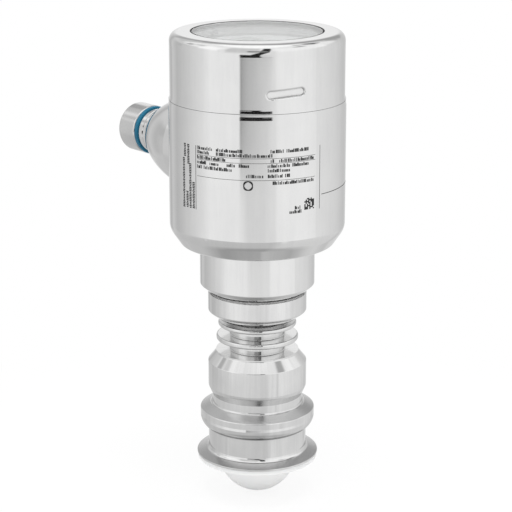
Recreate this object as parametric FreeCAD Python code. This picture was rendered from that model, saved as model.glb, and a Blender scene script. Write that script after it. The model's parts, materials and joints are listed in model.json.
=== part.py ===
import FreeCAD, Part
import math
import os

# Radar level transmitter in stainless steel, with a two inch clamp ferrule.
# Millimetres. The origin is the centre of the sealing face and +Z runs up to the sight glass.
# The cable entry points along -X.

V = FreeCAD.Vector

# Tolerance when edges are compared, and the points tested along each
touch = 1e-4
edge_samples = 9

# Lens and clamp ferrule
flange_r = 32.0
flange_rim_h = 0.8
flange_cone_deg = 20.0
flange_edge = 0.2
cladding_step = 0.5
cladding_h = 2.7
cladding_edge = 0.4
dome_r = 20.6
dome_centre_h = 1.2
dome_blend = 2.0
tube_r = 25.8
tube_fillet = 2.4
ferrule_h = 14.8
collar_step = 4.3
collar_h = 10.5
collar_round = 7.0
collar_edge = 0.5
collar_cone_w = 5.2
collar_cone_h = 2.8
collar_foot_round = 1.0
weld_h = 2.7

# Sensor neck with its fins
barrel_r = 25.85
barrel_taper_h = 4.7
barrel_h = 13.5
barrel_round = 3.0
barrel_edge = 0.5
barrel_chamfer_w = 4.15
barrel_chamfer_h = 5.1
barrel_land_h = 0.9
undercut_depth = 2.05
undercut_h = 2.2
core_r = 14.2
lower_fin_reach = 7.3
lower_fin_h = 2.7
lower_fin_gap = 5.7
upper_fin_reach = 6.3
upper_fin_h = 2.2
upper_fin_gap = 5.1
fin_round = 0.9
fin_root_round = 0.4
round_share = 0.45
neck_ring_gap = 2.6
neck_ring_step = 3.75
neck_ring_chamfer_w = 4.7
neck_ring_chamfer_h = 3.7
neck_ring_h = 9.6
neck_ring_round = 1.0
neck_ring_edge = 0.3

# Swivel between neck and housing
swivel_gap = 0.8
spigot_above_floor = 4.6
spigot_wall = 3.4
swivel_clearance = 0.05
swivel_washer_w = 1.95
swivel_seal_cord = 1.9
swivel_seal_gap = 0.08
seal_groove_play = 0.25
seal_groove_clearance = 0.02
swivel_seal_first = 6.5
swivel_seal_pitch = 7.0
swivel_seal_count = 2
stop_washer_w = 2.55
stop_washer_h = 1.2
stop_tab_reach = 2.7
stop_tab_w = 2.2
stop_key_w = 3.0
stop_key_depth = 1.3
stop_pin_r = 1.1
stop_pin_seat = 3.0
stop_pin_gap = 0.3
retainer_h = 1.5
retainer_reach = 2.2
retainer_groove = 1.3
retainer_mouth = 12.0
float_gap = 0.06

# Horn, waveguide and radar module inside the neck
horn_wall = 4.3
horn_clearance = 0.05
horn_lip = 2.65
horn_throat_r = 1.6
horn_throat_h = 3.1
horn_stem_r = 7.0
horn_stem_h = 10.0
lens_gap = 0.1
lens_tip_r = 2.4
horn_seal_cord = 2.0
horn_seal_above_collar = 1.5
barrel_wall = 6.8
barrel_bore_h = 16.0
core_wall = 5.2
waveguide_wall = 1.6
chamber_floor_drop = 9.0
feedthrough_seat = 2.0
feedthrough_h = 3.0
holder_gap = 1.5
holder_h = 6.0
module_play = 0.2
board_h = 1.6
shield_r = 10.0
shield_h = 4.5
shield_wall = 0.4
shield_round = 0.8
neck_cap_h = 3.0
neck_cap_drop = 8.0
cable_r = 2.4

# Housing
housing_r = 45.25
housing_h = 75.3
housing_chamfer_w = 5.85
housing_chamfer_h = 8.6
housing_bottom_round = 2.5
housing_shoulder_round = 9.0
housing_neck_step = 15.42
housing_neck_h = 26.0
housing_neck_wall = 7.78
housing_neck_chamfer_w = 4.8
housing_neck_chamfer_h = 4.2
housing_neck_edge = 0.8
seam_band_step = 0.25
seam_band_h = 1.5
seam_blend_h = 1.4
seam_blend_round = 4.0
seam_edge = 0.15
floor_h = 3.7
wall = 2.95
cavity_chamfer_w = 6.3
cavity_chamfer_h = 6.0
cavity_round = 4.0
mouth_wall = 2.8
mouth_h = 5.6
thread_h = 12.4
thread_edge = 0.6
pillar_r = 3.2
pillar_count = 3
pillar_first_deg = 0.0

# Cable entry along -X
entry_below_seam = 30.7
entry_proud = 40.75
entry_neck_r = 12.3
entry_neck_h = 7.0
entry_groove_from_face = 3.7
entry_groove = 0.5
fairing_foot = 7.6
fairing_land = 1.75
fairing_large_r = 25.2
fairing_small_r = 13.3
fairing_bulge = 2.09
fairing_junction_round = 1.2
fairing_wall = 5.0
entry_thread_r = 10.0
entry_thread_h = 12.0
entry_passage_r = 8.5
entry_passage_h = 4.0

# Blanking plug and its blue seal
plug_r = 13.3
plug_h = 14.3
plug_end_round = 1.5
plug_seat_round = 1.0
plug_seal_h = 2.8
plug_seal_step = 0.1
plug_seal_round = 0.7
plug_shank_gap = 2.0
plug_shank_edge = 0.8
plug_fit = 0.05
plug_socket_af = 8.0
plug_socket_depth = 5.0

# Cover with its sight glass
cover_step = 0.75
cover_wall = 4.1
cover_h = 34.2
cover_shoulder_round = 4.5
cover_foot_h = 0.2
cover_flare_h = 1.3
cover_flare_round = 3.0
cover_seat_gap = 0.1
cover_fit = 0.05
cover_seal_cord = 2.1
cover_seal_play = 0.15
cover_runout_h = 1.4
ring_bore_step = 2.45
ledge_w = 4.15
window_edge = 0.2
gasket_wall = 0.5
gasket_lip = 0.1
glass_fit = 0.2
glass_flange_h = 4.0
glass_flange_edge = 0.3
glass_face_h = 7.4
glass_recess = 0.1
glass_edge = 0.4
glass_ring_step = 0.55
glass_ring_h = 5.0
glass_ring_notch_w = 5.0
glass_ring_notch_h = 2.0
grip_length = 18.8
grip_w = 3.6
grip_depth = 2.0
grip_edge = 0.9
grip_above_seam = 9.8
grip_deg = -21.4
grip_tilt_deg = 4.0
grip_count = 2

# Electronics insert
insert_gap = 1.2
insert_above_floor = 14.0
insert_base_h = 3.0
insert_wall = 1.8
insert_h = 42.0
insert_edge = 1.0
lid_h = 4.0
lid_edge = 0.8
lid_lip_h = 2.5
lid_lip_w = 1.5
insert_fit = 0.1
well_r = 5.2
well_wall = 1.4
screw_r = 2.0
screw_head_r = 3.5
screw_head_h = 3.0
screw_reach = 10.0
screw_slot_w = 1.0
screw_slot_depth = 1.2
board_below_lid = 12.0
board_ledge = 2.0
connector_r = 6.0
connector_h = 6.0
cable_end_gap = 0.1

# Terminals, key and switches on the insert
tub_wall = 1.5
tub_gap = 0.5
terminal_length = 12.0
terminal_w = 27.0
terminal_h = 9.0
terminal_sink = 5.5
terminal_count = 3
terminal_pitch = 8.0
terminal_well_r = 3.0
terminal_screw_r = 2.7
terminal_screw_h = 2.6
terminal_screw_sink = 1.0
terminal_screw_offset = 1.0
terminal_slot_w = 0.9
terminal_slot_depth = 1.0
terminal_wire_r = 1.6
terminal_wire_h = 4.0
terminal_wire_cover = 1.0
key_x = 16.0
key_y = 10.0
key_r = 2.0
key_flange_r = 3.0
key_flange_h = 1.4
key_proud = 2.0
key_fit = 0.05
key_cap_h = 2.0
key_play = 0.7
switch_x = 16.0
switch_y = -9.0
switch_l = 9.0
switch_w = 7.0
switch_h = 3.5
switch_sink = 2.0
slider_pitch = 3.4
slider_w = 1.6
slider_l = 2.0
slider_proud = 0.7
slider_depth = 1.4
slider_fit = 0.06
slider_travel = 2.0

# Display behind the sight glass
display_gap = 1.8
display_base_gap = 4.0
display_glass_gap = 5.4
display_wall = 2.0
display_leg_r = 2.4
display_leg_inset = 1.6
display_leg_count = 4
display_leg_first_deg = 45.0
display_edge = 2.0
display_face_h = 3.0
screen_l = 44.0
screen_w = 27.0
screen_h = 1.6
screen_sink = 0.6

# Radii that follow from the sizes above
cladding_r = flange_r - cladding_step
collar_r = tube_r + collar_step
collar_cone_r = collar_r - collar_cone_w
horn_bore_r = tube_r - horn_wall
horn_r = horn_bore_r - horn_clearance
horn_mouth_r = horn_r - horn_lip
undercut_r = barrel_r - undercut_depth
barrel_top_r = barrel_r - barrel_chamfer_w
barrel_bore_r = undercut_r - barrel_wall
core_bore_r = core_r - core_wall
lower_fin_r = core_r + lower_fin_reach
upper_fin_r = core_r + upper_fin_reach
housing_neck_r = housing_r - housing_neck_step
housing_bore_r = housing_neck_r - housing_neck_wall
spigot_r = housing_bore_r - swivel_clearance
swivel_washer_r = housing_bore_r + swivel_washer_w
stop_washer_r = housing_bore_r + stop_washer_w
stop_pin_circle_r = stop_washer_r + stop_pin_gap + stop_pin_r
retainer_r = spigot_r + retainer_reach
neck_ring_r = spigot_r + neck_ring_step
neck_ring_chamfer_r = neck_ring_r - neck_ring_chamfer_w
chamber_r = spigot_r - spigot_wall
feedthrough_r = core_bore_r + feedthrough_seat
holder_wall_r = feedthrough_r + holder_gap
housing_bottom_r = housing_r - housing_chamfer_w
housing_neck_foot_r = housing_neck_r - housing_neck_chamfer_w
cavity_r = housing_r - wall
cavity_floor_r = cavity_r - cavity_chamfer_w
can_top_r = housing_r - seam_band_step
cover_r = housing_r - cover_step
thread_r = cover_r - cover_wall
mouth_r = thread_r - mouth_wall
cover_bore_r = thread_r + cover_fit
ring_bore_r = cover_bore_r - ring_bore_step
glass_flange_r = ring_bore_r - glass_fit
window_r = ring_bore_r - ledge_w
glass_r = window_r - gasket_wall
glass_ring_r = window_r + glass_ring_step
insert_r = mouth_r - insert_gap
insert_inner_r = insert_r - insert_wall
lip_r = insert_inner_r - insert_fit
well_bore_r = well_r - well_wall
pillar_circle_r = insert_r - well_r
display_r = glass_ring_r - display_gap
display_inner_r = display_r - display_wall
display_leg_circle_r = display_inner_r - display_leg_inset
plug_seal_r = plug_r - plug_seal_step
plug_shank_r = entry_thread_r - plug_fit

# Reaches along the cable entry, measured from the housing axis
entry_reach = housing_r + entry_proud
entry_neck_reach = entry_reach - entry_neck_h
entry_thread_reach = entry_reach - entry_thread_h
fairing_foot_reach = math.sqrt(housing_r ** 2 - fairing_large_r ** 2) - fairing_foot
fairing_land_reach = housing_r + fairing_land

# Levels that follow
face_z = 0.0
flange_z = face_z + cladding_h
collar_z = flange_z + ferrule_h
collar_top_z = collar_z + collar_h + collar_cone_h
weld_z = collar_top_z + weld_h
barrel_z = weld_z + undercut_h
barrel_top_z = barrel_z + barrel_taper_h + barrel_h
land_z = barrel_top_z + barrel_chamfer_h
lower_fin_z = land_z + barrel_land_h + lower_fin_gap
upper_fin_z = lower_fin_z + lower_fin_h + upper_fin_gap
neck_ring_z = upper_fin_z + upper_fin_h + neck_ring_gap
neck_top_z = neck_ring_z + neck_ring_chamfer_h + neck_ring_h
horn_top_z = collar_top_z
horn_seal_z = collar_z + horn_seal_above_collar
stem_top_z = horn_top_z + horn_stem_h
throat_z = stem_top_z - horn_throat_h
barrel_bore_z = weld_z + barrel_bore_h
housing_z = neck_top_z + swivel_gap
can_z = housing_z + housing_neck_h
floor_z = can_z + floor_h
seam_z = can_z + housing_h
mouth_z = seam_z - mouth_h
thread_top_z = seam_z + thread_h
entry_z = seam_z - entry_below_seam
spigot_top_z = floor_z + spigot_above_floor
chamber_z = neck_top_z - chamber_floor_drop
board_z = chamber_z + holder_h
neck_cap_z = spigot_top_z - neck_cap_drop - neck_cap_h
stop_washer_z = floor_z + float_gap
retainer_z = stop_washer_z + stop_washer_h + float_gap
insert_z = floor_z + insert_above_floor
lid_z = insert_z + insert_h
insert_top_z = lid_z + lid_h
main_board_z = lid_z - board_below_lid
tub_z = insert_top_z - terminal_sink
terminal_screw_z = tub_z + terminal_h - terminal_screw_sink - terminal_screw_h
key_room_z = insert_top_z - key_cap_h - key_flange_h - key_play
switch_z = insert_top_z - switch_sink
switch_top_z = switch_z + switch_h
cover_z = seam_z + cover_seat_gap
cover_top_z = cover_z + cover_h
glass_top_z = cover_top_z - glass_recess
glass_shoulder_z = glass_top_z - glass_face_h
gasket_ledge_z = glass_shoulder_z + gasket_wall
glass_z = glass_shoulder_z - glass_flange_h
glass_ring_z = glass_z - glass_ring_h
display_z = insert_top_z + display_base_gap
display_top_z = glass_z - display_glass_gap
screen_z = display_top_z - screen_sink - screen_h
grip_z = seam_z + grip_above_seam

# Terminal block's place, with the corners of its tub inside the lid's lip
tub_half_w = terminal_w / 2 + tub_wall
terminal_x = tub_wall + terminal_length / 2 - math.sqrt((lip_r - tub_gap) ** 2 - tub_half_w ** 2)


def rounded_wire(points):
    """Closed outline from (r, z) or (r, z, radius) corners, drawn in the XZ plane."""
    corners = [(V(p[0], 0, p[1]), p[2] if len(p) > 2 else 0.0) for p in points]
    count = len(corners)
    stretches = []
    for i, (corner, radius) in enumerate(corners):
        before = corners[i - 1][0] - corner
        after = corners[(i + 1) % count][0] - corner
        if radius <= 0:
            stretches.append((corner, None, corner))
            continue
        before.normalize()
        after.normalize()
        half_turn = before.getAngle(after) / 2
        run = radius / math.tan(half_turn)
        middle = before + after
        middle.normalize()
        centre = corner + middle * (radius / math.sin(half_turn))
        stretches.append((corner + before * run, centre - middle * radius, corner + after * run))
    edges = []
    for i, (start, middle, end) in enumerate(stretches):
        if middle is not None:
            edges.append(Part.Arc(start, middle, end).toShape())
        following = stretches[(i + 1) % count][0]
        if end.distanceToPoint(following) > touch:
            edges.append(Part.LineSegment(end, following).toShape())
    return Part.Wire(edges)


def turned(points):
    """Solid of revolution about the Z axis."""
    face = Part.Face(rounded_wire(points))
    return face.revolve(V(0, 0, 0), V(0, 0, 1), 360)


def ring(inner_r, outer_r, z, height):
    """Plain ring or disc about the Z axis."""
    disc = Part.makeCylinder(outer_r, height, V(0, 0, z))
    if inner_r <= 0:
        return disc
    return disc.cut(Part.makeCylinder(inner_r, height, V(0, 0, z)))


def o_ring(mid_r, z, cord):
    """Seal ring of round cord about the Z axis."""
    return Part.makeTorus(mid_r, cord / 2, V(0, 0, z), V(0, 0, 1))


def box_at(x, y, z, length, width, height):
    """Block centred on x and y that stands on z."""
    return Part.makeBox(length, width, height, V(x - length / 2, y - width / 2, z))


def around(shape, count, first_deg=0.0):
    """Copies of a shape, evenly spaced about the Z axis."""
    copies = []
    for i in range(count):
        copy = shape.copy()
        copy.rotate(V(0, 0, 0), V(0, 0, 1), first_deg + 360.0 * i / count)
        copies.append(copy)
    return copies


def along_entry(shape):
    """Turn a piece built about +Z onto the cable entry's axis, which points along -X."""
    placed = shape.copy()
    placed.rotate(V(0, 0, 0), V(0, 1, 0), -90)
    placed.translate(V(0, 0, entry_z))
    return placed


def on_cylinder(edge, radius):
    """True if the edge lies on a cylinder of that radius about the Z axis."""
    if edge.Degenerated:
        return False
    return all(abs(math.hypot(p.x, p.y) - radius) < touch for p in edge.discretize(edge_samples))


def antenna_lens():
    """Cladding disc, dome below it and the cone that fills the horn, one turned piece."""
    cone_r = horn_mouth_r - lens_gap
    slope = (horn_mouth_r - horn_throat_r) / (throat_z - flange_z)
    tip_z = flange_z + (cone_r - lens_tip_r) / slope
    disc = turned([
        (0, face_z),
        (cladding_r, face_z, cladding_edge),
        (cladding_r, flange_z),
        (cone_r, flange_z),
        (lens_tip_r, tip_z),
        (0, tip_z)])
    dome = Part.makeSphere(dome_r, V(0, 0, face_z + dome_centre_h), V(0, 0, 1), -90, 0, 360)
    lens = disc.fuse(dome).removeSplitter()
    dome_foot_r = math.sqrt(dome_r ** 2 - dome_centre_h ** 2)
    rim = [edge for edge in lens.Edges
           if on_cylinder(edge, dome_foot_r) and edge.BoundBox.ZMax < face_z + touch]
    return lens.makeFillet(dome_blend, rim)


def process_adapter():
    """Ferrule, tube and collar, turned from one bar and bored for the horn."""
    cone_run = flange_r - tube_r
    cone_rise = cone_run * math.tan(math.radians(flange_cone_deg))
    # The collar's underside is one arc, level with its rim above and ended by the tube below
    arc_h = math.sqrt(2 * collar_round * collar_step - collar_step ** 2)
    corner_h = (arc_h ** 2 - collar_step ** 2) / (2 * arc_h)
    foot_round = min(collar_foot_round, collar_cone_r - undercut_r)
    return turned([
        (flange_r, flange_z),
        (flange_r, flange_z + flange_rim_h, flange_edge),
        (tube_r, flange_z + flange_rim_h + cone_rise, tube_fillet),
        (tube_r, collar_z),
        (collar_r, collar_z + corner_h, collar_round),
        (collar_r, collar_z + collar_h, collar_edge),
        (collar_cone_r, collar_top_z),
        (undercut_r, collar_top_z, foot_round),
        (undercut_r, weld_z),
        (barrel_bore_r, weld_z),
        (barrel_bore_r, horn_top_z),
        (horn_bore_r, horn_top_z),
        (horn_bore_r, flange_z)])


def horn_antenna():
    """Metal horn with its seal groove and the stem that meets the waveguide."""
    groove_half = horn_seal_cord / 2 + seal_groove_play
    groove_r = horn_r - horn_seal_cord
    return turned([
        (horn_mouth_r, flange_z),
        (horn_r, flange_z),
        (horn_r, horn_seal_z - groove_half),
        (groove_r, horn_seal_z - groove_half),
        (groove_r, horn_seal_z + groove_half),
        (horn_r, horn_seal_z + groove_half),
        (horn_r, horn_top_z),
        (horn_stem_r, horn_top_z),
        (horn_stem_r, stem_top_z),
        (horn_throat_r, stem_top_z),
        (horn_throat_r, throat_z)])


def horn_seal():
    return o_ring(horn_r - horn_seal_cord / 2, horn_seal_z, horn_seal_cord)


def waveguide_tube():
    return ring(horn_throat_r, horn_throat_r + waveguide_wall, stem_top_z, chamber_z - stem_top_z)


def seal_levels():
    """Heights of the seals between the spigot and the housing neck."""
    return [housing_z + swivel_seal_first + i * swivel_seal_pitch for i in range(swivel_seal_count)]


def swivel_seal(z):
    outer_r = housing_bore_r - swivel_seal_gap
    return o_ring(outer_r - swivel_seal_cord / 2, z, swivel_seal_cord)


def sensor_neck():
    """Barrel, cooling fins, neck ring and swivel spigot, turned from one bar."""
    fin_edge = min(fin_round, round_share * lower_fin_h, round_share * upper_fin_h)
    outline = [
        (undercut_r, weld_z),
        (undercut_r, barrel_z),
        (barrel_r, barrel_z + barrel_taper_h, barrel_round),
        (barrel_r, barrel_top_z, barrel_edge),
        (barrel_top_r, land_z, barrel_edge),
        (barrel_top_r, land_z + barrel_land_h),
        (core_r, land_z + barrel_land_h, fin_root_round),
        (core_r, lower_fin_z, fin_root_round),
        (lower_fin_r, lower_fin_z, fin_edge),
        (lower_fin_r, lower_fin_z + lower_fin_h, fin_edge),
        (core_r, lower_fin_z + lower_fin_h, fin_root_round),
        (core_r, upper_fin_z, fin_root_round),
        (upper_fin_r, upper_fin_z, fin_edge),
        (upper_fin_r, upper_fin_z + upper_fin_h, fin_edge),
        (core_r, upper_fin_z + upper_fin_h, fin_root_round),
        (core_r, neck_ring_z, fin_root_round),
        (neck_ring_chamfer_r, neck_ring_z),
        (neck_ring_r, neck_ring_z + neck_ring_chamfer_h, neck_ring_round),
        (neck_ring_r, neck_top_z, neck_ring_edge),
        (spigot_r, neck_top_z)]
    groove_half = swivel_seal_cord / 2 + seal_groove_play
    groove_r = housing_bore_r - swivel_seal_gap - swivel_seal_cord - seal_groove_clearance
    for z in seal_levels():
        outline += [
            (spigot_r, z - groove_half),
            (groove_r, z - groove_half),
            (groove_r, z + groove_half),
            (spigot_r, z + groove_half)]
    outline += [
        (spigot_r, retainer_z),
        (spigot_r - retainer_groove, retainer_z),
        (spigot_r - retainer_groove, retainer_z + retainer_h),
        (spigot_r, retainer_z + retainer_h),
        (spigot_r, spigot_top_z),
        (chamber_r, spigot_top_z),
        (chamber_r, chamber_z),
        (core_bore_r, chamber_z),
        (core_bore_r, barrel_bore_z),
        (barrel_bore_r, barrel_bore_z),
        (barrel_bore_r, weld_z)]
    neck = turned(outline)
    keyway = Part.makeBox(stop_key_depth, stop_key_w, spigot_top_z - floor_z,
                          V(spigot_r - stop_key_depth, -stop_key_w / 2, floor_z))
    return neck.cut(keyway)


def swivel_washer():
    return ring(housing_bore_r, swivel_washer_r, neck_top_z, swivel_gap)


def stop_washer():
    """Washer keyed to the spigot, with the tab that meets the stop pin."""
    body = ring(housing_bore_r, stop_washer_r, stop_washer_z, stop_washer_h)
    middle_r = (housing_bore_r + stop_washer_r) / 2
    tab_l = stop_washer_r + stop_tab_reach - middle_r
    tab = box_at(middle_r + tab_l / 2, 0, stop_washer_z, tab_l, stop_tab_w, stop_washer_h)
    key_l = middle_r - spigot_r + stop_key_depth - swivel_clearance
    key_w = stop_key_w - 2 * swivel_clearance
    key = box_at(middle_r - key_l / 2, 0, stop_washer_z, key_l, key_w, stop_washer_h)
    return body.fuse(tab).fuse(key).removeSplitter()


def retaining_ring():
    """Open spring ring in the spigot's groove."""
    body = ring(spigot_r - retainer_groove, retainer_r, retainer_z, retainer_h)
    mouth = box_at(-retainer_r, 0, retainer_z, retainer_r, retainer_mouth, retainer_h)
    return body.cut(mouth)


def stop_pin():
    top_z = retainer_z + retainer_h
    return Part.makeCylinder(stop_pin_r, top_z - floor_z + stop_pin_seat,
                             V(-stop_pin_circle_r, 0, floor_z - stop_pin_seat))


def glass_feedthrough():
    return ring(0, feedthrough_r, chamber_z, feedthrough_h)


def module_holder():
    return ring(holder_wall_r, chamber_r - module_play, chamber_z, holder_h)


def radar_board():
    return ring(0, chamber_r - module_play, board_z, board_h)


def radar_shield():
    """Pressed screening can over the radar chip."""
    foot_z = board_z + board_h
    top_z = foot_z + shield_h
    inner_r = shield_r - shield_wall
    return turned([
        (shield_r, foot_z),
        (shield_r, top_z, shield_round),
        (0, top_z),
        (0, top_z - shield_wall),
        (inner_r, top_z - shield_wall),
        (inner_r, foot_z)])


def neck_cap():
    return ring(cable_r, chamber_r, neck_cap_z, neck_cap_h)


def sensor_cable():
    """Straight lead on the swivel axis, so it only twists when the housing turns."""
    top_z = insert_z - connector_h - cable_end_gap
    return Part.makeCylinder(cable_r, top_z - neck_cap_z, V(0, 0, neck_cap_z))


def fairing():
    """Cable entry boss with the swelling that runs into the housing."""
    groove_reach = entry_reach - entry_groove_from_face
    land = V(fairing_large_r, 0, fairing_land_reach)
    tip = V(fairing_small_r, 0, entry_neck_reach)
    along = tip - land
    outward = V(along.z, 0, -along.x).normalize()
    crown = land + along * 0.5 + outward * fairing_bulge
    corners = [
        tip,
        V(entry_neck_r, 0, entry_neck_reach),
        V(entry_neck_r, 0, groove_reach - entry_groove),
        V(entry_neck_r - entry_groove, 0, groove_reach),
        V(entry_neck_r, 0, groove_reach + entry_groove),
        V(entry_neck_r, 0, entry_reach),
        V(0, 0, entry_reach),
        V(0, 0, fairing_foot_reach),
        V(fairing_large_r, 0, fairing_foot_reach),
        land]
    edges = [Part.LineSegment(a, b).toShape() for a, b in zip(corners[:-1], corners[1:])]
    edges.append(Part.Arc(land, crown, tip).toShape())
    face = Part.Face(Part.Wire(edges))
    return along_entry(face.revolve(V(0, 0, 0), V(0, 0, 1), 360))


def fairing_hollow():
    """Wire way inside the fairing, from the thread to the housing's cavity."""
    inner_r = fairing_large_r - fairing_wall
    return turned([
        (0, fairing_foot_reach),
        (inner_r, fairing_foot_reach),
        (inner_r, fairing_land_reach),
        (entry_passage_r, entry_thread_reach - entry_passage_h),
        (entry_passage_r, entry_thread_reach),
        (0, entry_thread_reach)])


def junction_edges(shape):
    """Edges where the fairing meets the housing's cylinder."""
    found = []
    for edge in shape.Edges:
        size = edge.BoundBox
        slanted = min(size.YLength, size.ZLength) > fairing_junction_round
        if slanted and size.XMax < 0 and on_cylinder(edge, housing_r):
            found.append(edge)
    return found


def housing_cavity():
    return turned([
        (0, floor_z),
        (cavity_floor_r, floor_z),
        (cavity_r, floor_z + cavity_chamfer_h, cavity_round),
        (cavity_r, mouth_z - (cavity_r - mouth_r)),
        (mouth_r, mouth_z),
        (mouth_r, thread_top_z),
        (0, thread_top_z)])


def seam_band():
    """Ring taken off the can's top, so that the wall slopes in to meet the cover's foot."""
    outer_r = housing_r + seam_edge
    slope_z = seam_z - seam_band_h
    foot_z = slope_z - seam_blend_h * (outer_r - can_top_r) / seam_band_step
    return turned([
        (can_top_r, slope_z, seam_blend_round),
        (outer_r, foot_z),
        (outer_r, seam_z + seam_band_h),
        (can_top_r, seam_z + seam_band_h)])


def housing_body():
    """Can, swivel neck, threaded mouth and cable entry, one welded and turned shell."""
    can = turned([
        (0, housing_z),
        (housing_neck_foot_r, housing_z),
        (housing_neck_r, housing_z + housing_neck_chamfer_h, housing_neck_edge),
        (housing_neck_r, can_z),
        (housing_bottom_r, can_z, housing_bottom_round),
        (housing_r, can_z + housing_chamfer_h, housing_shoulder_round),
        (housing_r, seam_z),
        (thread_r, seam_z),
        (thread_r, thread_top_z, thread_edge),
        (0, thread_top_z)])
    shell = can.fuse(fairing())
    shell = shell.makeFillet(fairing_junction_round, junction_edges(shell))
    shell = shell.cut(seam_band()).cut(housing_cavity())
    pillar = Part.makeCylinder(pillar_r, insert_above_floor, V(pillar_circle_r, 0, floor_z))
    for post in around(pillar, pillar_count, pillar_first_deg):
        shell = shell.fuse(post)
    shell = shell.cut(Part.makeCylinder(housing_bore_r, floor_z - housing_z, V(0, 0, housing_z)))
    hole = Part.makeCylinder(screw_r, screw_reach, V(pillar_circle_r, 0, insert_z - screw_reach))
    for tapped in around(hole, pillar_count, pillar_first_deg):
        shell = shell.cut(tapped)
    pin_hole = Part.makeCylinder(stop_pin_r, stop_pin_seat, V(-stop_pin_circle_r, 0, floor_z - stop_pin_seat))
    shell = shell.cut(pin_hole)
    thread = Part.makeCylinder(entry_thread_r, entry_thread_h, V(0, 0, entry_thread_reach))
    return shell.cut(along_entry(thread)).cut(along_entry(fairing_hollow()))


def hexagon_prism(across_flats, height, z):
    """Hexagon about the Z axis."""
    corner_r = across_flats / math.sqrt(3)
    corners = [V(corner_r * math.cos(math.radians(60 * i)), corner_r * math.sin(math.radians(60 * i)), z)
               for i in range(7)]
    return Part.Face(Part.makePolygon(corners)).extrude(V(0, 0, height))


def plug_body():
    """Blanking plug with its threaded shank and a hexagon socket in the end."""
    foot = entry_thread_reach + plug_shank_gap
    head = entry_reach + plug_seal_h
    end = head + plug_h
    body = turned([
        (0, foot),
        (plug_shank_r, foot, plug_shank_edge),
        (plug_shank_r, head),
        (plug_r, head, plug_seat_round),
        (plug_r, end, plug_end_round),
        (0, end)])
    socket = hexagon_prism(plug_socket_af, plug_socket_depth, end - plug_socket_depth)
    return along_entry(body.cut(socket))


def plug_seal():
    inner_r = entry_thread_r + plug_fit
    end = entry_reach + plug_seal_h
    return along_entry(turned([
        (inner_r, entry_reach),
        (plug_seal_r, entry_reach, plug_seal_round),
        (plug_seal_r, end, plug_seal_round),
        (inner_r, end)]))


def grip_pocket():
    """Stadium pocket for the cover key, a little askew, cut square to the cover's wall."""
    half = (grip_length - grip_w) / 2
    floor_x = cover_r - grip_depth
    cutter = Part.makeBox(2 * grip_depth, 2 * half, grip_w, V(floor_x, -half, grip_z - grip_w / 2))
    for side in (-half, half):
        end = Part.makeCylinder(grip_w / 2, 2 * grip_depth, V(floor_x, side, grip_z), V(1, 0, 0))
        cutter = cutter.fuse(end)
    cutter = cutter.removeSplitter()
    cutter.rotate(V(0, 0, grip_z), V(1, 0, 0), grip_tilt_deg)
    return cutter


def grip_rims(shape):
    """Edges round the pockets on the cover's outer wall."""
    low = grip_z - grip_w
    high = grip_z + grip_w
    return [edge for edge in shape.Edges
            if edge.BoundBox.ZMin > low and edge.BoundBox.ZMax < high and on_cylinder(edge, cover_r)]


def cover_shell():
    """Screw cover with its flared foot, the window ledge and the two grip pockets."""
    seal_room = cover_seal_cord + 2 * cover_seal_play
    flare_z = cover_z + cover_foot_h
    shell = turned([
        (thread_r + seal_room, cover_z),
        (can_top_r, cover_z, seam_edge),
        (can_top_r, flare_z),
        (cover_r, flare_z + cover_flare_h, cover_flare_round),
        (cover_r, cover_top_z, cover_shoulder_round),
        (window_r, cover_top_z, window_edge),
        (window_r, gasket_ledge_z),
        (ring_bore_r, gasket_ledge_z),
        (ring_bore_r, thread_top_z + cover_runout_h),
        (cover_bore_r, thread_top_z + cover_runout_h),
        (cover_bore_r, cover_z + seal_room),
        (thread_r + seal_room, cover_z + seal_room)])
    for pocket in around(grip_pocket(), grip_count, grip_deg):
        shell = shell.cut(pocket)
    return shell.makeFillet(grip_edge, grip_rims(shell))


def cover_seal():
    mid_r = thread_r + cover_seal_play + cover_seal_cord / 2
    return o_ring(mid_r, cover_z + cover_seal_play + cover_seal_cord / 2, cover_seal_cord)


def sight_glass():
    """Stepped toughened glass disc."""
    return turned([
        (0, glass_z),
        (glass_flange_r, glass_z, glass_flange_edge),
        (glass_flange_r, glass_shoulder_z),
        (glass_r, glass_shoulder_z),
        (glass_r, glass_top_z, glass_edge),
        (0, glass_top_z)])


def glass_gasket():
    """Angle gasket between the glass and its ledge, black at the window's edge."""
    lip_z = glass_top_z + gasket_lip
    return turned([
        (glass_r, glass_shoulder_z),
        (glass_flange_r, glass_shoulder_z),
        (glass_flange_r, gasket_ledge_z),
        (window_r, gasket_ledge_z),
        (window_r, lip_z),
        (glass_r, lip_z)])


def glass_retainer():
    """Threaded ring that clamps the glass, with two notches for a pin key."""
    body = ring(glass_ring_r, ring_bore_r, glass_ring_z, glass_ring_h)
    notch = box_at(0, 0, glass_ring_z, 2 * ring_bore_r, glass_ring_notch_w, glass_ring_notch_h)
    return body.cut(notch)


def well_places():
    """Centres of the screw wells, over the housing's pillars."""
    step = 360.0 / pillar_count
    angles = [math.radians(pillar_first_deg + i * step) for i in range(pillar_count)]
    return [(pillar_circle_r * math.cos(a), pillar_circle_r * math.sin(a)) for a in angles]


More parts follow.
